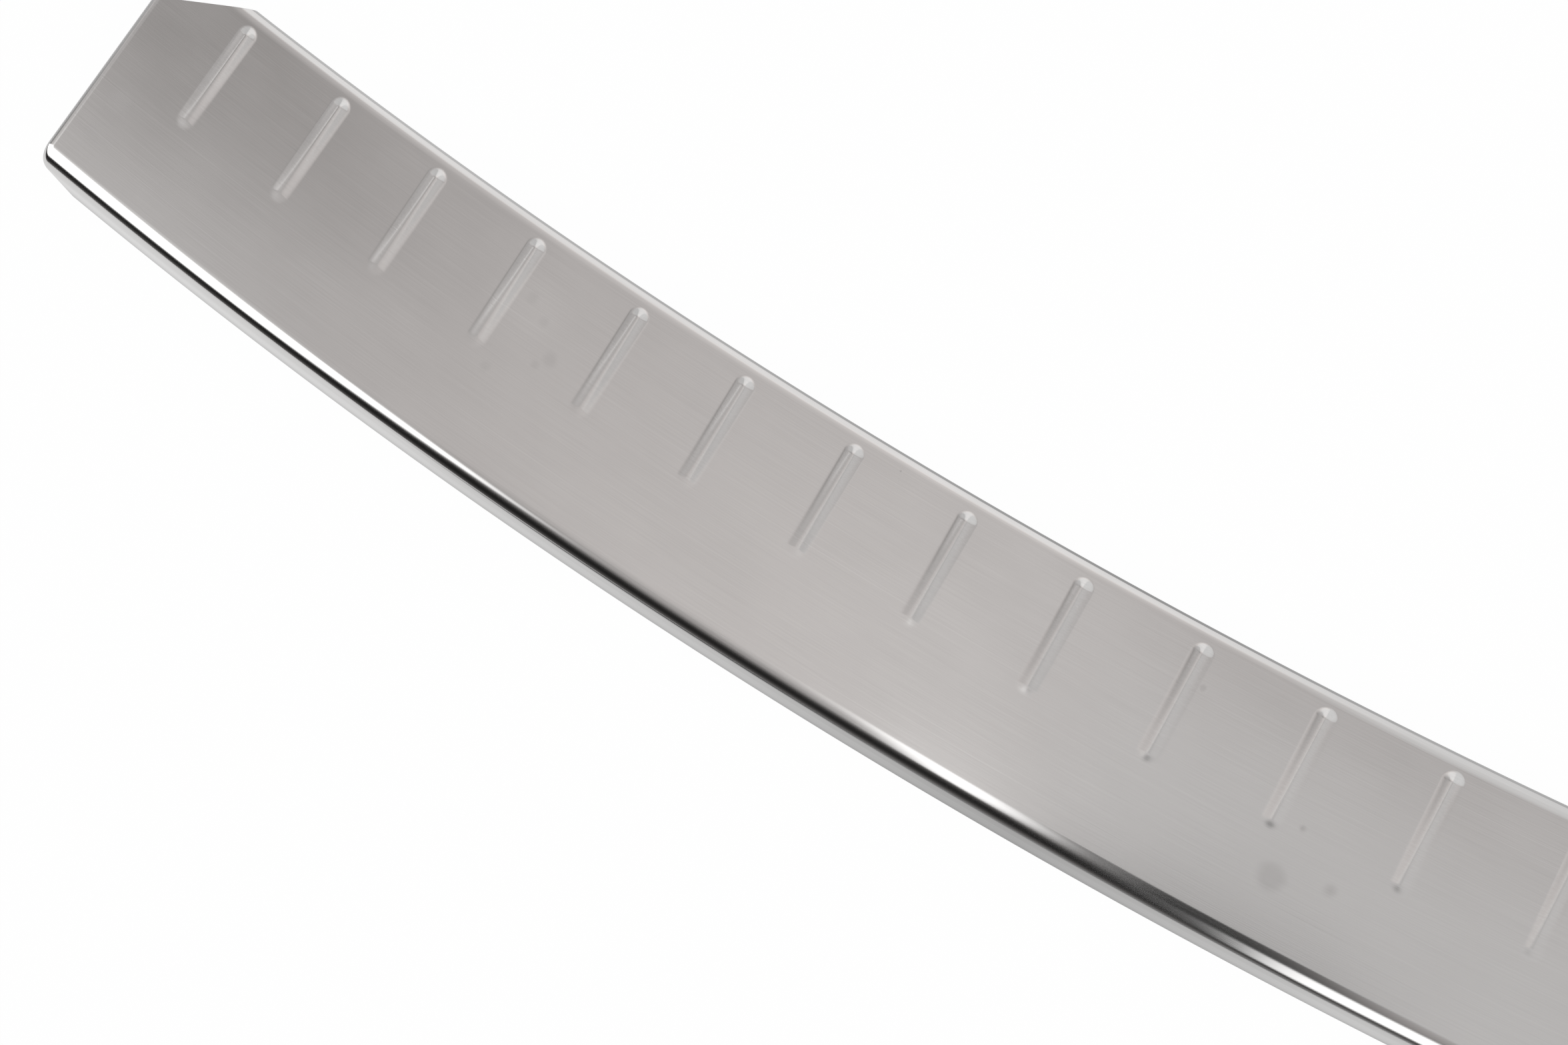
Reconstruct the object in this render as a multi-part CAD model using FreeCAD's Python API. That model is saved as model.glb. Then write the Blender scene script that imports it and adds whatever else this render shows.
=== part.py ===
import FreeCAD, Part
import math
import os

# Rear bumper protector: one pressed sheet of stainless steel that covers the loading edge of a rear bumper.
# A flat plate, curved in plan with the bumper, is folded down over the bumper's outer edge in a wide round
# bend. Its ends and its back edge turn down in small bends, and a row of ribs is pressed up across it.
# Millimetres. +X runs along the bumper, +Y points at the tailgate, +Z is up. The flange's lower edge is at
# Z = 0, and the box round the whole sheet is centred on X = 0 and Y = 0.

# The sheet and its curve
SHEET_THICKNESS = 0.8        # stainless sheet
CURVE_RADIUS = 2700.0        # plan radius of the line through the back ends of the ribs
PLATE_DEPTH = 105.5          # from the back edge to the front face of the flange

# Pressed ribs
RIB_COUNT = 21
RIB_PITCH = 50.0             # along the curved line of their back ends
RIB_LENGTH = 50.5
RIB_WIDTH = 9.2
RIB_HEIGHT = 1.5
RIB_LEAD_SHARE = 0.35        # roundness of crest and foot: how much of the half width each leads in level
RIB_BACK_MARGIN = 6.0        # from the back edge to the back end of a rib

# Front bend and flange
FRONT_BEND_RADIUS = 11.2     # outside of the sheet
FRONT_DROP = 15.0            # from the top of the plate to the flange's lower edge

# End lips
END_OVERHANG = 44.3          # from the last rib's middle to the end, on the line of the ribs' back ends
END_LEAN_DEG = 1.0           # the end edge leans towards the middle as it comes forward
END_BEND_RADIUS = 3.5        # rolled over the plate, the front bend and the flange alike
END_DROP = 3.8
FLANGE_TRIM = 17.0           # the flange's lower corner is cut off aslant, from here up to the end lip

# Back lip and back corners
BACK_BEND_RADIUS = 2.5
BACK_DROP = 3.2
CHAMFER_ALONG = 40.0         # length that a back corner's plain cut takes off the back edge
CHAMFER_ACROSS = 22.0        # and off the end edge

# How far a cutting form reaches past the sheet, so that it cuts clean through
OVERCUT = 6.0

# Concentric lines about the centre of the plan curve, and the place and direction of the right end
BACK_RADIUS = CURVE_RADIUS - RIB_BACK_MARGIN
FRONT_RADIUS = BACK_RADIUS + PLATE_DEPTH
HALF_RIB_ROW = RIB_PITCH * (RIB_COUNT - 1) / 2
END_ANGLE = (HALF_RIB_ROW + END_OVERHANG) / CURVE_RADIUS
END_DIRECTION = END_ANGLE - math.radians(END_LEAN_DEG)


def polar(radius, angle, height=0.0):
    """Point at a radius from the centre of the plan curve, at an angle from straight ahead."""
    return FreeCAD.Vector(radius * math.sin(angle), -radius * math.cos(angle), height)


def mirrored(point):
    """The same point on the left half of the sheet."""
    return FreeCAD.Vector(-point.x, point.y, point.z)


def along_end(radius, inset):
    """Where the right end's line, moved inwards by inset, crosses the circle of this radius."""
    direction = polar(1.0, END_DIRECTION)
    inward = FreeCAD.Vector(direction.y, -direction.x, 0)
    start = polar(CURVE_RADIUS, END_ANGLE) + inward * inset
    half = start.dot(direction)
    reach = -half + math.sqrt(half * half - start.dot(start) + radius * radius)
    return start + direction * reach


def chamfer_points(inset, shrink):
    """Ends of the right back corner's cut, on the end line and on the back curve."""
    corner = along_end(BACK_RADIUS, 0)
    direction = polar(1.0, END_DIRECTION)
    inward = FreeCAD.Vector(direction.y, -direction.x, 0)
    on_end = corner + direction * (CHAMFER_ACROSS - shrink) + inward * inset
    corner_angle = math.atan2(corner.x, -corner.y)
    on_back = polar(BACK_RADIUS + inset, corner_angle - (CHAMFER_ALONG - shrink) / BACK_RADIUS)
    return on_end, on_back


def plan_outline(inset, shrink):
    """Curves of the plan outline in order: front, right end, cut, back, cut, left end."""
    corner = along_end(FRONT_RADIUS - inset, inset)
    on_end, on_back = chamfer_points(inset, shrink)
    return [
        Part.Arc(mirrored(corner), polar(FRONT_RADIUS - inset, 0), corner),
        Part.LineSegment(corner, on_end),
        Part.LineSegment(on_end, on_back),
        Part.Arc(on_back, polar(BACK_RADIUS + inset, 0), mirrored(on_back)),
        Part.LineSegment(mirrored(on_back), mirrored(on_end)),
        Part.LineSegment(mirrored(on_end), mirrored(corner)),
    ]


def edge_through(shape, point):
    """The edge that passes through a point."""
    vertex = Part.Vertex(point)
    return min(shape.Edges, key=lambda edge: edge.distToShape(vertex)[0])


def end_edges(block, inset, top, bottom):
    """Edges round the right end: along the plate, round the front bend and down the flange."""
    bend = FRONT_BEND_RADIUS - inset
    radius = FRONT_RADIUS - inset
    along_plate = along_end(CURVE_RADIUS + RIB_LENGTH, inset)
    round_bend = along_end(radius - bend * (1 - math.sqrt(0.5)), inset)
    down_flange = along_end(radius, inset)
    along_plate.z = top
    round_bend.z = top - bend * (1 - math.sqrt(0.5))
    down_flange.z = (top - bend + bottom) / 2
    return [edge_through(block, point) for point in (along_plate, round_bend, down_flange)]


def bent_block(inset, shrink, bottom):
    """All that lies under the sheet's outer face, or with an inset under its inner face, without the ribs."""
    top = FRONT_DROP - inset
    face = Part.Face(Part.Wire([curve.toShape() for curve in plan_outline(inset, shrink)]))
    face.translate(FreeCAD.Vector(0, 0, bottom))
    block = face.extrude(FreeCAD.Vector(0, 0, top - bottom))
    front_edge = edge_through(block, polar(FRONT_RADIUS - inset, 0, top))
    block = block.makeFillet(FRONT_BEND_RADIUS - inset, [front_edge])
    back_edge = edge_through(block, polar(BACK_RADIUS + inset, 0, top))
    block = block.makeFillet(BACK_BEND_RADIUS - inset, [back_edge])
    for turned in range(2):
        block = block.makeFillet(END_BEND_RADIUS - inset, end_edges(block, inset, top, bottom))
        block = block.mirror(FreeCAD.Vector(0, 0, 0), FreeCAD.Vector(1, 0, 0))
    return block


def rib_section():
    """Outline of half a rib in the XZ plane: a round crest that runs out into the plate in a hollow foot."""
    half_width = RIB_WIDTH / 2
    lead = FreeCAD.Vector(half_width * RIB_LEAD_SHARE, 0, 0)
    crest = FreeCAD.Vector(0, 0, RIB_HEIGHT)
    foot = FreeCAD.Vector(half_width, 0, 0)
    return [crest, crest + lead, foot - lead, foot]


def hollow_section():
    """Outline of half the hollow under a rib: its flank lies one sheet thickness inside the rib's flank."""
    half_width = RIB_WIDTH / 2
    flank_run = half_width * (1 - RIB_LEAD_SHARE)
    steepness = RIB_HEIGHT / flank_run
    shift = SHEET_THICKNESS * (math.hypot(1, steepness) - 1) / steepness
    reach = (half_width + flank_run) / 2 - shift
    crest_height = RIB_HEIGHT - SHEET_THICKNESS
    return [
        FreeCAD.Vector(0, 0, crest_height),
        FreeCAD.Vector(reach - flank_run, 0, crest_height),
        FreeCAD.Vector(reach, 0, -SHEET_THICKNESS),
    ]


def rib(section):
    """A rib, or the hollow under it, across the middle of the plate: a straight run between half-round ends."""
    crest, foot = section[0], section[-1]
    root = foot - FreeCAD.Vector(0, 0, SHEET_THICKNESS)
    root_centre = FreeCAD.Vector(0, 0, root.z)
    flank = Part.BezierCurve()
    flank.setPoles(section)
    down = Part.LineSegment(foot, root)
    across = Part.LineSegment(root, root_centre)
    up_again = Part.LineSegment(root_centre, crest)
    half = Part.Face(Part.Wire([side.toShape() for side in (flank, down, across, up_again)]))
    origin = FreeCAD.Vector(0, 0, 0)
    up = FreeCAD.Vector(0, 0, 1)
    run = FreeCAD.Vector(0, RIB_WIDTH - RIB_LENGTH, 0)
    right_run = half.extrude(run)
    left_run = right_run.mirror(origin, FreeCAD.Vector(1, 0, 0))
    back_end = half.revolve(origin, up, 180)
    front_end = half.revolve(origin, up, -180)
    front_end.translate(run)
    whole = right_run.fuse([left_run, back_end, front_end]).removeSplitter()
    whole.translate(polar(CURVE_RADIUS + RIB_WIDTH / 2, 0, FRONT_DROP))
    return whole


def rib_row(section):
    """The row of ribs or hollows, each square to the curve."""
    row = []
    for number in range(RIB_COUNT):
        turned = rib(section)
        along = number * RIB_PITCH - HALF_RIB_ROW
        turned.rotate(FreeCAD.Vector(0, 0, 0), FreeCAD.Vector(0, 0, 1), math.degrees(along / CURVE_RADIUS))
        row.append(turned)
    return row


def ring(profile):
    """Solid ring about the centre of the plan curve, from its corners as radius and height."""
    corners = [FreeCAD.Vector(radius, 0, height) for radius, height in profile]
    face = Part.Face(Part.makePolygon(corners + corners[:1]))
    return face.revolve(FreeCAD.Vector(0, 0, 0), FreeCAD.Vector(0, 0, 1), 360)


def below_lips():
    """What is trimmed off under the back lip and the end lips, up to the flange's inner face."""
    end_bottom = FRONT_DROP - END_DROP
    back_bottom = FRONT_DROP - BACK_DROP
    behind = BACK_RADIUS - OVERCUT
    back_bend_end = BACK_RADIUS + BACK_BEND_RADIUS
    flange_inside = FRONT_RADIUS - 2 * SHEET_THICKNESS
    return ring([
        (behind, -OVERCUT),
        (flange_inside, -OVERCUT),
        (flange_inside, 0),
        (FRONT_RADIUS - FRONT_BEND_RADIUS, end_bottom),
        (back_bend_end, end_bottom),
        (back_bend_end, back_bottom),
        (behind, back_bottom),
    ])


def flange_corner():
    """Wedge under the right end of the front bend, which takes off the flange's lower corner and the end wall."""
    end_bottom = FRONT_DROP - END_DROP
    slope = end_bottom / FLANGE_TRIM
    forward = polar(1.0, END_DIRECTION)
    inward = FreeCAD.Vector(forward.y, -forward.x, 0)
    start = along_end(FRONT_RADIUS - FRONT_BEND_RADIUS - OVERCUT, 0)
    corners = [
        start - inward * OVERCUT + FreeCAD.Vector(0, 0, -OVERCUT),
        start + inward * (FLANGE_TRIM + OVERCUT / slope) + FreeCAD.Vector(0, 0, -OVERCUT),
        start - inward * OVERCUT + FreeCAD.Vector(0, 0, end_bottom + OVERCUT * slope),
    ]
    face = Part.Face(Part.makePolygon(corners + corners[:1]))
    return face.extrude(forward * (FRONT_BEND_RADIUS + 2 * OVERCUT))


def protector():
    """The finished sheet: the outer form less the inner form, each with its ribs, trimmed to its lips."""
    outer = bent_block(0.0, 0.0, 0.0).fuse(rib_row(rib_section()))
    inner = bent_block(SHEET_THICKNESS, OVERCUT, -OVERCUT).fuse(rib_row(hollow_section()))
    right_corner = flange_corner()
    left_corner = right_corner.mirror(FreeCAD.Vector(0, 0, 0), FreeCAD.Vector(1, 0, 0))
    sheet = outer.cut(inner).cut([below_lips(), right_corner, left_corner]).removeSplitter()
    back_corner = chamfer_points(0.0, 0.0)[1]
    sheet.translate(FreeCAD.Vector(0, (FRONT_RADIUS - back_corner.y) / 2, 0))
    return sheet


os.makedirs("parts", exist_ok=True)
whole_sheet = protector()
whole_sheet.exportStep("parts/protector_sheet.step")
print("protector_sheet", whole_sheet.isValid(), len(whole_sheet.Solids), whole_sheet.BoundBox)
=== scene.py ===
import math
import bpy
from mathutils import Matrix, Vector


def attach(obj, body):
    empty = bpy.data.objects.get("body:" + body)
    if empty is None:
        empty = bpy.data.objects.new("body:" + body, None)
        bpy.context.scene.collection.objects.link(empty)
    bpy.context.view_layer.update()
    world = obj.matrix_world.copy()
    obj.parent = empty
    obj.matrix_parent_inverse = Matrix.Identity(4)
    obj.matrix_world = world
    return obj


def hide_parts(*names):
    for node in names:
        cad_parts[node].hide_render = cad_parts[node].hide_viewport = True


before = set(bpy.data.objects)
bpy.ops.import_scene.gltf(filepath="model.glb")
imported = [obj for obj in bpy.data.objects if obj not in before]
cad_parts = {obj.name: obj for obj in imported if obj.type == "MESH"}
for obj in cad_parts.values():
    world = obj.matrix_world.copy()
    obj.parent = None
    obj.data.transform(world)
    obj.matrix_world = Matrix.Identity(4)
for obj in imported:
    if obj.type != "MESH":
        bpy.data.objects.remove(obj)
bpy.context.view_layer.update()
bpy.ops.object.select_all(action="DESELECT")

# The sheet: one blank of 0.8 mm stainless steel, curved in plan with the bumper it lies on. Its front is
# folded down in a wide round bend, its back edge in a small one, and its ends are rolled over plate and
# front bend alike. The back corners and the flange's lower corners are cut off straight after the folding.
SHEET_THICKNESS = 0.0008
SHEET_TOP = 0.015
CURVE_RADIUS = 2.7
BACK_RADIUS = 2.694
FRONT_RADIUS = 2.7995
END_ANGLE = 0.5443 / CURVE_RADIUS
END_DIRECTION = END_ANGLE - math.radians(1.0)
FRONT_BEND = 0.0112
END_BEND = 0.0035
END_REACH = 0.0044
END_LIP = 0.0016
END_CUT_HEIGHT = 0.0112
BACK_LIP_FOOT = 0.0118
FLANGE_TRIM = 0.017
FLANGE_LEAN = math.radians(67)
FLANGE_FOOT = 0.00035
CORNER_CUT_ALONG, CORNER_CUT_ACROSS = 0.040, 0.022
END_PAST_CUT, BACK_PAST_CUT = 0.012, 0.016
FLAT_MARGIN = 0.0003
FRONT_STEPS, END_STEPS, BACK_STEPS = 24, 12, 8
FRONT_DIVISIONS, BACK_DIVISIONS = 96, 84
WELD_DISTANCE = 2e-5
LEVEL_TOLERANCE = 1e-6
CUT_TOLERANCE = 1e-7
SMOOTH_ANGLE = math.radians(35)


def polar(radius, angle):
    """Point about the centre of the plan curve."""
    return Vector((radius * math.sin(angle), -radius * math.cos(angle)))


def end_line(radius, inset):
    """Where the right end's line, moved inwards, crosses the circle of this radius."""
    direction = polar(1.0, END_DIRECTION)
    start = polar(CURVE_RADIUS, END_ANGLE) + Vector((direction.y, -direction.x)) * inset
    half = start.dot(direction)
    return start + direction * (-half + math.sqrt(half * half - start.dot(start) + radius * radius))


end_forward = polar(1.0, END_DIRECTION)
end_outward = Vector((-end_forward.y, end_forward.x))
back_corner = end_line(BACK_RADIUS, 0.0)
cut_on_end = back_corner + end_forward * CORNER_CUT_ACROSS
cut_on_back = polar(BACK_RADIUS, math.atan2(back_corner.x, -back_corner.y) - CORNER_CUT_ALONG / BACK_RADIUS)
curve_centre = Vector((0.0, (FRONT_RADIUS - cut_on_back.y) / 2))


def quarter_bend(bend, steps, last_lean):
    """Inset from the edge, height and lean of the sheet's outer face from just inside a fold to its end."""
    rows = [(bend + FLAT_MARGIN, SHEET_TOP, 0.0)]
    for step in range(steps + 1):
        lean = last_lean * step / steps
        rows.append((bend * (1 - math.sin(lean)), SHEET_TOP - bend * (1 - math.cos(lean)), lean))
    return rows


def grid_of(name, rows):
    """A grid whose rows of points are laid in their places."""
    bpy.ops.mesh.primitive_grid_add(x_subdivisions=len(rows[0]) - 1, y_subdivisions=len(rows) - 1, size=1)
    edge = bpy.context.object
    edge.name = name
    grid = sorted(edge.data.vertices, key=lambda v: (round(v.co.y, 5), v.co.x))
    for vertex, place in zip(grid, [point for row in rows for point in row]):
        vertex.co = place
    return edge


# The front: plate margin, round bend and flange, as far as the rolls of both ends.
# The flange leans out a little.
front_profile = quarter_bend(FRONT_BEND, FRONT_STEPS, FLANGE_LEAN)
flange_inset, flange_height, flange_lean = front_profile[-1]
for share in (0.25, 0.6, 1.0):
    fall = (flange_height - FLANGE_FOOT) * share
    front_profile.append((flange_inset - fall / math.tan(FLANGE_LEAN), flange_height - fall, flange_lean))
front_rows = []
for inset, height, lean in front_profile:
    last = end_line(FRONT_RADIUS - inset, END_REACH)
    reach = math.atan2(last.x, -last.y)
    shares = [2 * step / FRONT_DIVISIONS - 1 for step in range(FRONT_DIVISIONS + 1)]
    margin_share = FLAT_MARGIN / (FRONT_RADIUS - inset) / reach
    shares[1:1] = [margin_share - 1]
    shares[-1:-1] = [1 - margin_share]
    row = [polar(FRONT_RADIUS - inset, reach * share) for share in shares]
    front_rows.append([(point.x, point.y + curve_centre.y, height) for point in row])
front_edge = grid_of("front_fold", front_rows)

# The ends: a narrow roll that runs forward along the plate, over the front bend and down the flange.
plate_front = end_line(FRONT_RADIUS - FRONT_BEND - FLAT_MARGIN, END_REACH)
plate_back = cut_on_end - end_outward * END_REACH - end_forward * END_PAST_CUT
end_path = [(plate_back.lerp(plate_front, step / 10), SHEET_TOP, 0.0) for step in range(10)]
for inset, height, lean in front_profile:
    end_path.append((end_line(FRONT_RADIUS - inset, END_REACH), height, lean))
outward = Vector((end_outward.x, end_outward.y, 0.0))
turns = [(math.radians(90) * step / END_STEPS, 0.0) for step in range(END_STEPS + 1)]
turns.append((math.radians(90), END_LIP))
end_rows = []
for turn, drop in turns:
    row = []
    for point, height, lean in end_path:
        forward = end_forward * math.sin(lean)
        facing = Vector((forward.x, forward.y, math.cos(lean)))
        start = Vector((point.x, point.y + curve_centre.y, height))
        fall = END_BEND * (1 - math.cos(turn)) + drop
        row.append(start + outward * END_REACH * math.sin(turn) - facing * fall)
    end_rows.append(row)
margin_rows = [[place - outward * FLAT_MARGIN for place in end_rows[0][:11]], end_rows[0][:11]]
end_pieces = []
for side, name in ((1, "right"), (-1, "left")):
    for rows, part in ((end_rows, "roll"), (margin_rows, "margin")):
        mirrored = [[(side * x, y, z) for x, y, z in row] for row in rows]
        end_pieces.append(grid_of(name + "_" + part, mirrored))

# The back edge: a small fold with a short lip. The plate leads into it softly over its last millimetres.
BACK_LEAD = ((0.0049, 1.3), (0.0043, 2.3), (0.0036, 3.4), (0.0030, 5.0), (0.0026, 8.0))
back_reach = math.atan2(cut_on_back.x, -cut_on_back.y) + BACK_PAST_CUT / BACK_RADIUS
back_profile = [(0.0056, SHEET_TOP, 0.0), (0.0053, SHEET_TOP, 0.0)]
for inset, lean in BACK_LEAD:
    last_inset, last_height, last_lean = back_profile[-1]
    drop = (last_inset - inset) * math.tan((last_lean + math.radians(lean)) / 2)
    back_profile.append((inset, last_height - drop, math.radians(lean)))
lead_inset, lead_height, lead_lean = back_profile[-1]
fold = lead_inset / (1 - math.sin(lead_lean))
for step in range(1, BACK_STEPS + 1):
    lean = lead_lean + (math.radians(90) - lead_lean) * step / BACK_STEPS
    height = lead_height - fold * (math.cos(lead_lean) - math.cos(lean))
    back_profile.append((fold * (1 - math.sin(lean)), height, lean))
back_profile.append((0.0, BACK_LIP_FOOT, math.radians(90)))
back_rows = []
shares = [2 * step / BACK_DIVISIONS - 1 for step in range(BACK_DIVISIONS + 1)]
for inset, height, lean in back_profile:
    row = [polar(BACK_RADIUS + inset, back_reach * share) for share in shares]
    back_rows.append([(point.x, point.y + curve_centre.y, height) for point in row])
back_fold = grid_of("back_fold", back_rows)

# The ribs: 21 are pressed up across the plate, square to the curve, each with half-round ends. Their crest
# is round and runs out into the plate in a hollow foot, so no edge of a rib is sharp. They stand highest at
# the back, and at the front they are nearly flush.
RIB_COUNT = 21
RIB_PITCH = 0.050
RIB_LENGTH = 0.0505
RIB_HALF_WIDTH = 0.0046
RIB_HEIGHT = 0.0015
RIB_LEAD_SHARE = 0.35
RIB_FRONT_SHARE = 0.05
RIB_RUN_SHARE = 0.20
RIB_BACK_SHARE = 1 - RIB_FRONT_SHARE - RIB_RUN_SHARE
RIB_RINGS = 11
RIB_LAST_RING = 0.96
RIB_POINTS = 48


def rib_section(share):
    """Half width and height of the rib at a share of the way from its foot to its crest."""
    lead = RIB_HALF_WIDTH * RIB_LEAD_SHARE
    poles = [(RIB_HALF_WIDTH, 0.0), (RIB_HALF_WIDTH - lead, 0.0), (lead, RIB_HEIGHT), (0.0, RIB_HEIGHT)]
    rest = 1 - share
    weights = [rest ** 3, 3 * share * rest ** 2, 3 * share ** 2 * rest, share ** 3]
    return [sum(weight * pole[axis] for weight, pole in zip(weights, poles)) for axis in (0, 1)]


bpy.ops.object.select_all(action="DESELECT")
bpy.ops.mesh.primitive_circle_add(
    vertices=RIB_POINTS, radius=RIB_HALF_WIDTH + FLAT_MARGIN, fill_type="NGON",
    location=(0, -RIB_HALF_WIDTH, SHEET_TOP), rotation=(0, 0, math.pi / RIB_POINTS))
rib = bpy.context.object
bpy.ops.object.transform_apply(location=True, rotation=True, scale=True)
bpy.ops.object.mode_set(mode="EDIT")
bpy.ops.mesh.select_all(action="DESELECT")
bpy.ops.object.mode_set(mode="OBJECT")
for vertex in rib.data.vertices:
    vertex.select = vertex.co.y < -RIB_HALF_WIDTH
for edge in rib.data.edges:
    edge.select = all(rib.data.vertices[number].select for number in edge.vertices)
bpy.ops.object.mode_set(mode="EDIT")
bpy.ops.mesh.select_mode(type="VERT")
bpy.ops.transform.translate(value=(0, 2 * RIB_HALF_WIDTH - RIB_LENGTH, 0))
bpy.ops.mesh.select_mode(type="FACE")
bpy.ops.mesh.select_all(action="SELECT")
bpy.ops.mesh.inset(thickness=FLAT_MARGIN, depth=0)
ring_width, ring_height = rib_section(0.0)
for ring in range(1, RIB_RINGS + 1):
    width, height = rib_section(RIB_LAST_RING * ring / RIB_RINGS)
    bpy.ops.mesh.inset(thickness=ring_width - width, depth=height - ring_height)
    ring_width, ring_height = width, height
bpy.ops.object.mode_set(mode="OBJECT")
for vertex in rib.data.vertices:
    towards_back = min(1.0, max(0.0, 1 + vertex.co.y / RIB_LENGTH))
    height_share = RIB_FRONT_SHARE + RIB_RUN_SHARE * towards_back + RIB_BACK_SHARE * towards_back ** 4
    vertex.co.z = SHEET_TOP + (vertex.co.z - SHEET_TOP) * height_share
ribs = []
for number in range(RIB_COUNT):
    copy = rib.copy()
    copy.data = rib.data.copy()
    bpy.context.collection.objects.link(copy)
    angle = (number - (RIB_COUNT - 1) / 2) * RIB_PITCH / CURVE_RADIUS
    to_centre = Matrix.Translation((0, -CURVE_RADIUS, 0))
    turn = Matrix.Rotation(angle, 4, "Z")
    out = Matrix.Translation((0, curve_centre.y, 0))
    copy.data.transform(out @ turn @ to_centre)
    ribs.append(copy)
bpy.data.objects.remove(rib)

# The plate between folds and ribs: the flat of the sheet, filled in and joined to them. Its corners are
# then cut, and the whole is given the sheet's thickness downwards.
bpy.ops.object.select_all(action="DESELECT")
for piece in [front_edge, back_fold] + end_pieces + ribs:
    piece.select_set(True)
bpy.context.view_layer.objects.active = front_edge
bpy.ops.object.join()
sheet = bpy.context.object
sheet.name = "bumper_protector_sheet"
sheet.data.name = "bumper_protector_sheet"
bpy.ops.object.mode_set(mode="EDIT")
bpy.ops.mesh.select_mode(type="VERT")
bpy.ops.mesh.select_all(action="SELECT")
bpy.ops.mesh.remove_doubles(threshold=WELD_DISTANCE)
bpy.ops.object.mode_set(mode="OBJECT")


def nearest_vertex(x, y):
    """The sheet's vertex in the plate's plane nearest to a place."""
    place = Vector((x, y, SHEET_TOP))
    return min(sheet.data.vertices, key=lambda vertex: (vertex.co - place).length).index


bridges = []
for side in (-1, 1):
    margin_end, fold_end = margin_rows[0][0], back_rows[0][-1]
    on_margin = nearest_vertex(side * margin_end.x, margin_end.y)
    on_fold = nearest_vertex(side * fold_end[0], fold_end[1])
    bridges.append((on_margin, on_fold))
first_bridge = len(sheet.data.edges)
sheet.data.edges.add(2)
for number, ends in enumerate(bridges):
    sheet.data.edges[first_bridge + number].vertices = ends
sheet.data.update()
faces_on = {}
for face in sheet.data.polygons:
    for key in face.edge_keys:
        faces_on[key] = faces_on.get(key, 0) + 1
bridge_ends = {number for ends in bridges for number in ends}
for edge in sheet.data.edges:
    ends = [sheet.data.vertices[number] for number in edge.vertices]
    level = all(abs(vertex.co.z - SHEET_TOP) < LEVEL_TOLERANCE for vertex in ends)
    as_short_as_margin = (ends[0].co - ends[1].co).length < 1.2 * FLAT_MARGIN
    across_fold = as_short_as_margin and bridge_ends & set(edge.vertices)
    edge.select = faces_on.get(edge.key, 0) < 2 and level and not across_fold
for vertex in sheet.data.vertices:
    vertex.select = False
for face in sheet.data.polygons:
    face.select = False
bpy.ops.object.mode_set(mode="EDIT")
bpy.ops.mesh.select_mode(type="EDGE")
bpy.ops.mesh.fill(use_beauty=True)
for side in (-1, 1):
    along_cut = cut_on_back - cut_on_end
    bpy.ops.mesh.select_all(action="SELECT")
    bpy.ops.mesh.bisect(
        plane_co=(side * cut_on_end.x, cut_on_end.y + curve_centre.y, 0),
        plane_no=(side * along_cut.y, -along_cut.x, 0), clear_outer=True, threshold=CUT_TOLERANCE)
    flange_end = end_line(FRONT_RADIUS, 0.0)
    bpy.ops.mesh.select_all(action="SELECT")
    bpy.ops.mesh.bisect(
        plane_co=(side * flange_end.x, flange_end.y + curve_centre.y, END_CUT_HEIGHT),
        plane_no=(side * end_outward.x * END_CUT_HEIGHT, end_outward.y * END_CUT_HEIGHT, -FLANGE_TRIM),
        clear_outer=True, threshold=CUT_TOLERANCE)
bpy.ops.mesh.select_all(action="SELECT")
bpy.ops.mesh.normals_make_consistent(inside=False)
bpy.ops.object.mode_set(mode="OBJECT")
if max(sheet.data.polygons, key=lambda face: face.area).normal.z < 0:
    sheet.data.flip_normals()
wall = sheet.modifiers.new("wall", "SOLIDIFY")
wall.thickness = SHEET_THICKNESS
wall.offset = -1
wall.use_even_offset = True
bpy.context.view_layer.objects.active = sheet
bpy.ops.object.modifier_apply(modifier=wall.name)
bpy.ops.object.shade_smooth_by_angle(angle=SMOOTH_ANGLE)

# The sheet's steel, rolled bright: fine grain along the sheet, a few hairline scratches, faint cloudy
# wiping marks, one place wiped clean, and some smudges and specks where the sheet has been handled.
GRAIN_SCALES = (25, 2600, 2600)
BROAD_GRAIN_SCALES = (6, 500, 500)
HAIRLINE_SCALES = (7, 1500, 1500)
CLOUD_SCALES = (22, 34, 34)
DULL_STEEL = (0.42, 0.411, 0.404, 1)
BRIGHT_STEEL = (0.98, 0.974, 0.970, 1)
GLOSS = 0.085
WIPED_PLACE = (-0.340, 0.020)
# Each smudge: its place along the sheet and across it, its radius and how dark it is.
SMUDGES = [
    (-0.3415, 0.0245, 0.0042, 0.30), (-0.3240, 0.0060, 0.0050, 0.26), (-0.3285, 0.0010, 0.0030, 0.20),
    (-0.3330, 0.0175, 0.0035, 0.20), (-0.3465, -0.0085, 0.0035, 0.16), (-0.0440, 0.0085, 0.0016, 0.30),
    (0.0300, -0.0360, 0.0045, 0.22), (0.0090, -0.0420, 0.0060, 0.18), (0.0110, -0.0205, 0.0028, 0.35),
    (-0.1810, 0.0290, 0.0007, 0.60), (-0.0905, 0.0640, 0.0009, 0.60), (-0.0885, 0.0610, 0.0006, 0.60),
    (-0.5350, 0.0190, 0.0070, 0.20), (-0.5400, 0.0020, 0.0040, 0.22)]


def add(tree, kind, **settings):
    """A node with its settings."""
    node = tree.nodes.new(kind)
    for name, value in settings.items():
        setattr(node, name, value)
    return node


def math_node(tree, operation, first, second=None):
    """A Math node on sockets or plain numbers; gives its output."""
    node = add(tree, "ShaderNodeMath", operation=operation)
    for slot, value in enumerate((first, second)):
        if value is None:
            continue
        if isinstance(value, (int, float)):
            node.inputs[slot].default_value = value
        else:
            tree.links.new(value, node.inputs[slot])
    return node.outputs[0]


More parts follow.
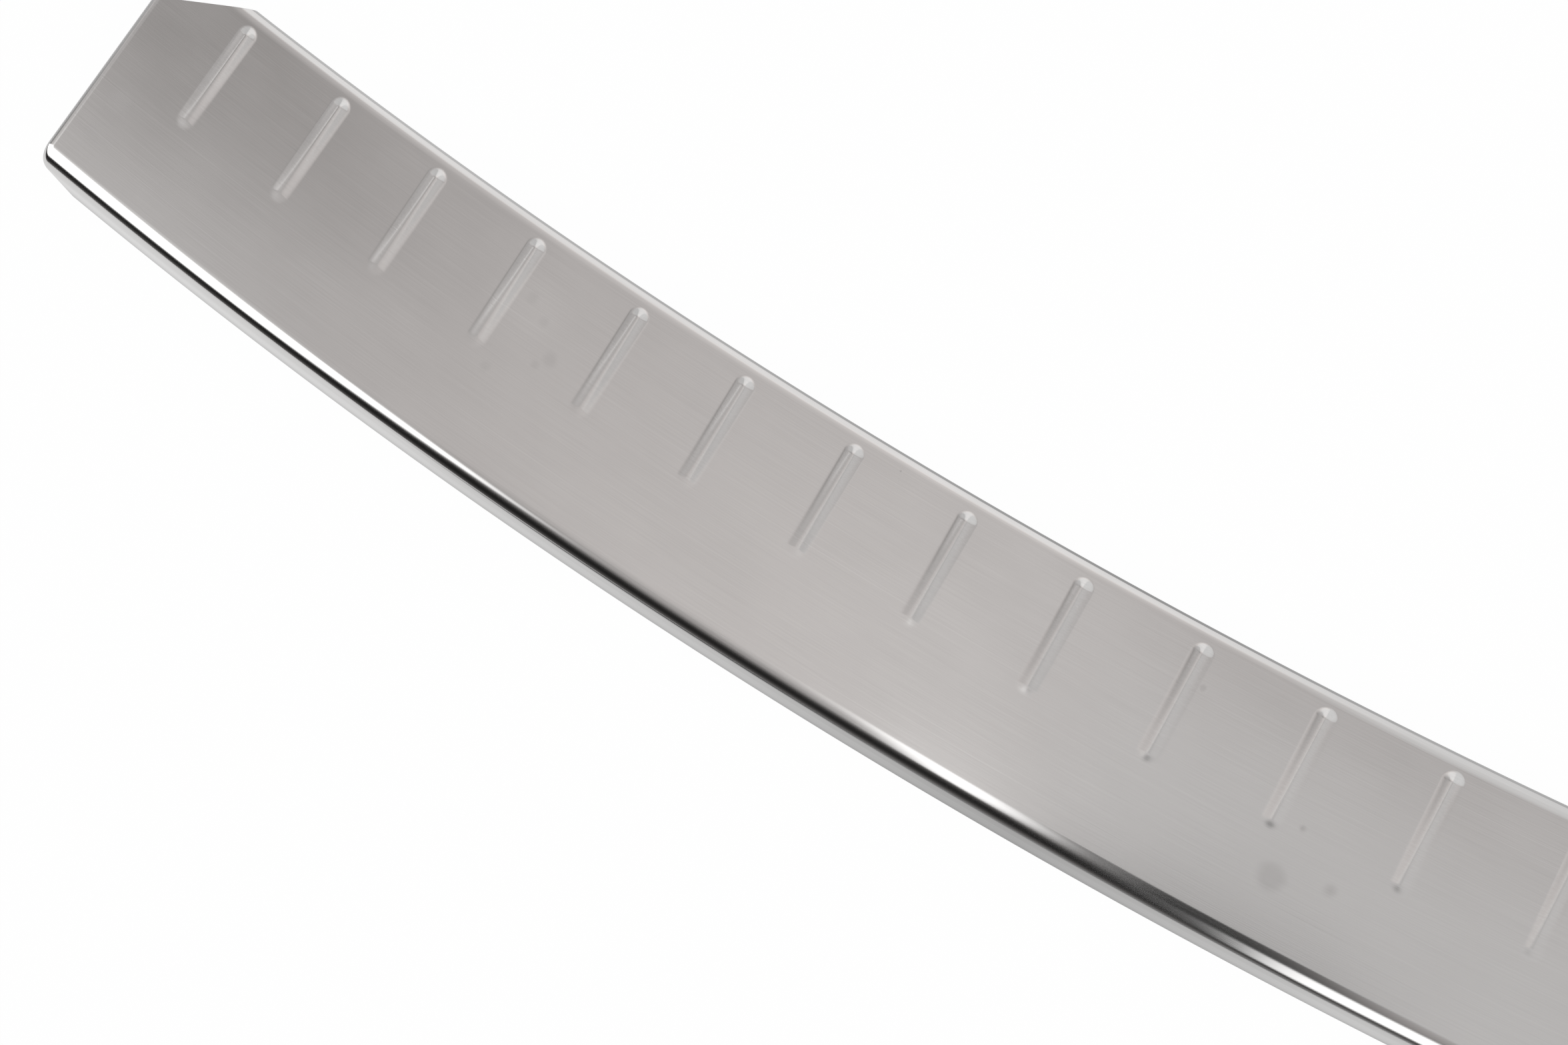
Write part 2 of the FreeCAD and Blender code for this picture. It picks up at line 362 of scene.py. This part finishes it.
def distance(tree, first, second):
    """Length of the diagonal over two lengths square to each other."""
    squares = [math_node(tree, "MULTIPLY", value, value) for value in (first, second)]
    return math_node(tree, "SQRT", math_node(tree, "ADD", *squares))


def swing(tree, pattern, depth):
    """A pattern between 0 and 1, turned into one that swings round 0 by half the depth each way."""
    return math_node(tree, "MULTIPLY", math_node(tree, "SUBTRACT", pattern, 0.5), depth)


def smooth_step(tree, value, low, high):
    """0 below low and 1 above high, smooth between them; falls instead when low is above high."""
    node = add(tree, "ShaderNodeMapRange", interpolation_type="SMOOTHSTEP", clamp=True)
    tree.links.new(value, node.inputs["Value"])
    node.inputs["From Min"].default_value = min(low, high)
    node.inputs["From Max"].default_value = max(low, high)
    if low > high:
        node.inputs["To Min"].default_value = 1
        node.inputs["To Max"].default_value = 0
    return node.outputs["Result"]


def noise(tree, lengths, scales, detail, roughness=0.5):
    """Noise over lengths along the sheet, across it and up, each with its own scale."""
    place = add(tree, "ShaderNodeCombineXYZ")
    for slot, (length, scale) in enumerate(zip(lengths, scales)):
        tree.links.new(math_node(tree, "MULTIPLY", length, scale), place.inputs[slot])
    node = add(tree, "ShaderNodeTexNoise", noise_dimensions="3D")
    tree.links.new(place.outputs[0], node.inputs["Vector"])
    node.inputs["Scale"].default_value = 1.0
    node.inputs["Detail"].default_value = detail
    node.inputs["Roughness"].default_value = roughness
    return node.outputs["Fac"]


steel = bpy.data.materials.new("satin_steel")
steel.use_nodes = True
tree = steel.node_tree
shader = tree.nodes["Principled BSDF"]
shader.inputs["Metallic"].default_value = 1.0
split = add(tree, "ShaderNodeSeparateXYZ")
tree.links.new(add(tree, "ShaderNodeTexCoord").outputs["Object"], split.inputs[0])
side_place, depth_place, height_place = split.outputs
to_centre = math_node(tree, "SUBTRACT", curve_centre.y, depth_place)
along = math_node(tree, "MULTIPLY", math_node(tree, "ARCTAN2", side_place, to_centre), CURVE_RADIUS)
across = math_node(tree, "SUBTRACT", distance(tree, side_place, to_centre), CURVE_RADIUS)
lengths = (along, across, height_place)
grain = noise(tree, lengths, GRAIN_SCALES, 3, 0.6)
broad_grain = noise(tree, lengths, BROAD_GRAIN_SCALES, 2)
clouds = noise(tree, lengths, CLOUD_SCALES, 3)
hairlines = smooth_step(tree, noise(tree, lengths, HAIRLINE_SCALES, 1, 0.3), 0.70, 0.76)
smudges = None
for place_x, place_y, radius, darkness in SMUDGES:
    aside = math_node(tree, "SUBTRACT", side_place, place_x)
    away = math_node(tree, "SUBTRACT", depth_place, place_y)
    ragged = math_node(tree, "ADD", distance(tree, aside, away), swing(tree, clouds, 2 * radius))
    mark = math_node(tree, "MULTIPLY", smooth_step(tree, ragged, radius, 0.2 * radius), darkness)
    smudges = mark if smudges is None else math_node(tree, "MAXIMUM", smudges, mark)
aside = math_node(tree, "SUBTRACT", side_place, WIPED_PLACE[0])
away = math_node(tree, "SUBTRACT", depth_place, WIPED_PLACE[1])
ragged = math_node(tree, "ADD", distance(tree, aside, away), swing(tree, clouds, 0.03))
wiped = smooth_step(tree, ragged, 0.022, 0.004)
tone = 0.5
for pattern, depth in ((grain, 0.16), (broad_grain, 0.04), (clouds, 0.14)):
    tone = math_node(tree, "ADD", tone, swing(tree, pattern, depth))
for marks, depth in ((hairlines, 0.03), (smudges, -0.4), (wiped, 0.07)):
    tone = math_node(tree, "ADD", tone, math_node(tree, "MULTIPLY", marks, depth))
colours = add(tree, "ShaderNodeValToRGB")
tree.links.new(tone, colours.inputs["Fac"])
colours.color_ramp.elements[0].color = DULL_STEEL
colours.color_ramp.elements[1].color = BRIGHT_STEEL
tree.links.new(colours.outputs["Color"], shader.inputs["Base Color"])
gloss = GLOSS
for pattern, depth in ((grain, 0.03), (clouds, 0.04), (smudges, 0.25)):
    gloss = math_node(tree, "ADD", gloss, math_node(tree, "MULTIPLY", pattern, depth))
tree.links.new(gloss, shader.inputs["Roughness"])
relief = add(tree, "ShaderNodeBump")
relief.inputs["Strength"].default_value = 0.015
relief.inputs["Distance"].default_value = 0.0002
tree.links.new(math_node(tree, "ADD", grain, hairlines), relief.inputs["Height"])
tree.links.new(relief.outputs["Normal"], shader.inputs["Normal"])
sheet.data.materials.clear()
sheet.data.materials.append(steel)
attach(sheet, "root")
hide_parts("protector_sheet")

# The studio's table: a pale plane under the sheet. The camera sees it white, with a trace of the sheet's
# shadow. To the steel it glows with painted light: bright close to the flange, a painted shadow right at
# its foot, and darker further out.
METAL_SHADE = 0.7
TABLE_SIZE = 8
PAPER = (0.85, 0.85, 0.85, 1)
# Grey of the painted shadow that the steel sees on the table at the flange's foot.
PAINTED_FOOT_SHADOW = (60, 60, 64)
WHITE_SHARE = 0.98
# Places along the sheet in metres, each with the level of painted light that the table gives the steel
# there.
NEAR_LEVELS = [
    (-0.9, 60), (-0.72, 90), (-0.64, 206), (-0.4, 204), (-0.25, 190), (-0.08, 163), (0.05, 190), (0.6, 190)]
FAR_LEVELS = [
    (-0.6, 203), (-0.43, 200), (-0.37, 120), (-0.33, 72), (-0.22, 74), (-0.17, 116), (0.0, 108), (0.6, 120)]


def lit(level):
    """Light that the steel turns into this level of the picture, out of 255."""
    return (((level / 255 + 0.055) / 1.055) ** 2.4) / METAL_SHADE


def level_ramp(tree, value, stops, tint=(1.0, 1.0, 1.0)):
    """A ramp of picture levels over places of the value."""
    low, high = stops[0][0], stops[-1][0]
    share = math_node(tree, "DIVIDE", math_node(tree, "SUBTRACT", value, low), high - low)
    ramp = add(tree, "ShaderNodeValToRGB")
    tree.links.new(share, ramp.inputs["Fac"])
    elements = ramp.color_ramp.elements
    while len(elements) < len(stops):
        elements.new(0.5)
    for element, (place, level) in zip(elements, stops):
        element.position = (place - low) / (high - low)
    for element, (place, level) in zip(elements, stops):
        element.color = tuple(lit(level) * part for part in tint) + (1,)
    return ramp.outputs["Color"]


def mix(tree, share, first, second, blend_type="MIX"):
    """Lays the second colour over the first by its share; the share and the second may be plain values."""
    node = add(tree, "ShaderNodeMix", data_type="RGBA", blend_type=blend_type)
    tree.links.new(first, node.inputs[6])
    for socket, value in ((node.inputs["Factor"], share), (node.inputs[7], second)):
        if isinstance(value, (int, float, tuple)):
            socket.default_value = value
        else:
            tree.links.new(value, socket)
    return node.outputs[2]


bpy.ops.object.select_all(action="DESELECT")
bpy.ops.mesh.primitive_plane_add(size=TABLE_SIZE, location=(0, 0, 0))
table = bpy.context.object
table.name = "pale_table"
paper = bpy.data.materials.new("pale_table")
paper.use_nodes = True
tree = paper.node_tree
tree.nodes.clear()
split = add(tree, "ShaderNodeSeparateXYZ")
tree.links.new(add(tree, "ShaderNodeTexCoord").outputs["Object"], split.inputs[0])
side_place, depth_place = split.outputs[0], split.outputs[1]
from_centre = distance(tree, side_place, math_node(tree, "SUBTRACT", depth_place, curve_centre.y))
in_front = math_node(tree, "SUBTRACT", from_centre, FRONT_RADIUS)
near_light = level_ramp(tree, side_place, NEAR_LEVELS)
far_light = level_ramp(tree, side_place, FAR_LEVELS)
table_light = mix(tree, smooth_step(tree, in_front, 0.040, 0.105), near_light, far_light)
# Painted shadow: the table's glow darkens right at the flange's foot.
painted_shadow_share = math_node(tree, "MULTIPLY", smooth_step(tree, in_front, 0.0045, 0.0022), 0.25)
table_light = mix(tree, painted_shadow_share, table_light, tuple(lit(level) for level in PAINTED_FOOT_SHADOW) + (1,))
rays = add(tree, "ShaderNodeLightPath")
table_light = mix(tree, rays.outputs["Is Camera Ray"], table_light, (1, 1, 1, 1))
# The glow: painted light that only the steel sees; to the camera the table is white.
glow = add(tree, "ShaderNodeEmission")
tree.links.new(table_light, glow.inputs["Color"])
matt = add(tree, "ShaderNodeBsdfDiffuse")
matt.inputs["Color"].default_value = PAPER
white_to_camera = math_node(tree, "MULTIPLY", rays.outputs["Is Camera Ray"], WHITE_SHARE)
glowing = math_node(tree, "MAXIMUM", white_to_camera, rays.outputs["Is Glossy Ray"])
blend = add(tree, "ShaderNodeMixShader")
tree.links.new(glowing, blend.inputs[0])
tree.links.new(matt.outputs[0], blend.inputs[1])
tree.links.new(glow.outputs[0], blend.inputs[2])
tree.links.new(blend.outputs[0], add(tree, "ShaderNodeOutputMaterial").inputs["Surface"])
table.data.materials.append(paper)

# The studio round the sheet: a soft pale ceiling that darkens to the sides and towards the front, with a
# pale wall behind the back edge. In front hang three soft boxes, with a dark gap between the middle and the
# right one. The round bend shows them as white bands, and the washes of light round them lie on the plate.
WARM = (1.0, 0.957, 0.940)
ROOM_LEVEL = 181
# Degrees from straight up towards the front, each with the grey that the steel shows of the room there.
FRONT_LEVELS = [
    (-180, 150), (-88, 200), (-60, 226), (-22, 220), (-13, 201), (-8, 188), (-4, 178), (-1, 174),
    (2, 182), (5, 184), (12, 178), (22, 168), (30, 150), (38, 138), (45, 110), (50, 82),
    (55, 52), (62, 32), (70, 29), (77, 46), (84, 74), (92, 100), (180, 100)]
# The same, in degrees from straight up towards the right.
SIDE_LEVELS = [
    (-90, 25), (-80, 28), (-74, 60), (-69, 150), (-64, 190), (-54, 188), (-44, 174), (-35, 171),
    (-29.5, 170), (-27, 163), (-24, 163), (-20, 171), (-16, 180), (-10, 186), (-5, 187), (-1, 182),
    (3, 173), (8, 172), (29, 174), (42, 187), (50, 174), (60, 164), (90, 152)]
DARK_PATCH = (132, 129, 127)
LEFT_BOX, MIDDLE_BOX, RIGHT_BOX = 1.9, 2.1, 1.7


def lay_light(light, strength, share, *edges):
    """Lays a panel's light over the room's. Edges: a value, where the panel starts, where it is full."""
    mask = share
    for edge in edges:
        mask = math_node(tree, "MULTIPLY", mask, smooth_step(tree, *edge))
    return mix(tree, mask, light, (strength, strength, strength, 1))


world = bpy.data.worlds.new("studio")
world.use_nodes = True
tree = world.node_tree
tree.nodes.clear()
split = add(tree, "ShaderNodeSeparateXYZ")
tree.links.new(add(tree, "ShaderNodeTexCoord").outputs["Generated"], split.inputs[0])
x, y, z = split.outputs
front_angle = math_node(tree, "ARCTAN2", math_node(tree, "MULTIPLY", y, -1), z)
to_front = math_node(tree, "MULTIPLY", front_angle, math.degrees(1))
to_side = math_node(tree, "MULTIPLY", math_node(tree, "ARCSINE", x), math.degrees(1))
front_light = level_ramp(tree, to_front, FRONT_LEVELS, WARM)
side_light = level_ramp(tree, to_side, SIDE_LEVELS, WARM)
light = mix(tree, 1, front_light, side_light, "MULTIPLY")
light = mix(tree, 1, light, tuple(1 / (lit(ROOM_LEVEL) * part) for part in WARM) + (1,), "MULTIPLY")

# A darker patch of the ceiling, the pale back wall, and washes of light and shade to both sides.
patch_side = math_node(tree, "DIVIDE", math_node(tree, "ADD", to_side, 27.5), 6.0)
patch_front = math_node(tree, "DIVIDE", math_node(tree, "ADD", to_front, 1.5), 5.0)
in_patch = smooth_step(tree, distance(tree, patch_side, patch_front), 1.3, 0.0)
patch_share = math_node(tree, "MULTIPLY", in_patch, 0.8)
light = mix(tree, patch_share, light, tuple(lit(level) for level in DARK_PATCH) + (1,))
light = lay_light(light, lit(216), 0.8, (to_front, -13, -30))
light = lay_light(light, lit(215), 0.42, (to_front, -3, 9), (to_front, 40, 20), (x, -0.34, -0.47))
light = lay_light(light, lit(138), 0.5, (to_front, 1, -6), (x, -0.42, -0.50))
light = lay_light(light, lit(198), 0.85, (to_front, -1, -6), (x, 0.03, 0.10))

# The left soft box, which widens to the left between its two slanting edges.
upper_slant = math_node(tree, "MULTIPLY", math_node(tree, "MAXIMUM", x, -0.6), -100)
lower_slant = math_node(tree, "MULTIPLY", math_node(tree, "MAXIMUM", x, -0.5), 100)
past_upper_edge = math_node(tree, "ADD", to_front, upper_slant)
past_lower_edge = math_node(tree, "ADD", to_front, lower_slant)
light = lay_light(light, LEFT_BOX, 1, (past_upper_edge, 59, 66), (past_lower_edge, 10, 2),
                  (x, -0.29, -0.38))

# The middle soft box with its cut corner, and the glow round it.
corner_slant = math_node(tree, "MULTIPLY", math_node(tree, "ADD", x, 0.08), 500)
past_corner = math_node(tree, "ADD", to_front, corner_slant)
light = lay_light(light, MIDDLE_BOX, 1, (to_front, 5, 13), (past_corner, 55, 44), (to_front, 50, 41),
                  (x, -0.125, -0.085), (x, -0.02, -0.06))
light = lay_light(light, lit(196), 0.12, (to_front, -4, 4), (to_front, 12, 4),
                  (x, -0.15, -0.09), (x, -0.01, -0.05))

# The wash on the right of the plate, the dark gap in front of it and the right soft box.
light = lay_light(light, lit(192), 0.55, (to_front, 0, 4), (to_front, 12, 8), (x, -0.05, 0.0))
light = lay_light(light, lit(40), 1, (to_front, 6, 9), (to_front, 62, 50),
                  (x, -0.035, 0.0), (x, 0.17, 0.085))
light = lay_light(light, RIGHT_BOX, 1, (to_front, 34, 45), (to_front, 81, 69), (x, 0.072, 0.104))
light = mix(tree, add(tree, "ShaderNodeLightPath").outputs["Is Camera Ray"], light, (1, 1, 1, 1))
shine = add(tree, "ShaderNodeBackground")
tree.links.new(light, shine.inputs["Color"])
tree.links.new(shine.outputs[0], add(tree, "ShaderNodeOutputWorld").inputs["Surface"])
bpy.context.scene.world = world

# The camera looks down on the left half of the sheet, as in the photograph.
LENS = 53.57
CAMERA_PLACE = (-0.0539747, 0.0316595, 0.8910041)
CAMERA_AXES = Matrix((
    (0.8730619, -0.4541922, 0.1774043),
    (0.4537746, 0.8899630, 0.0453259),
    (-0.1784699, 0.0409292, 0.9830937)))
camera_data = bpy.data.cameras.new("camera")
camera = bpy.data.objects.new("camera", camera_data)
bpy.context.collection.objects.link(camera)
camera_data.sensor_width = 36
camera_data.lens = LENS
camera_data.clip_start = 0.01
camera.matrix_world = Matrix.Translation(CAMERA_PLACE) @ CAMERA_AXES.to_4x4()
bpy.context.scene.camera = camera
bpy.context.scene.view_settings.view_transform = "Standard"
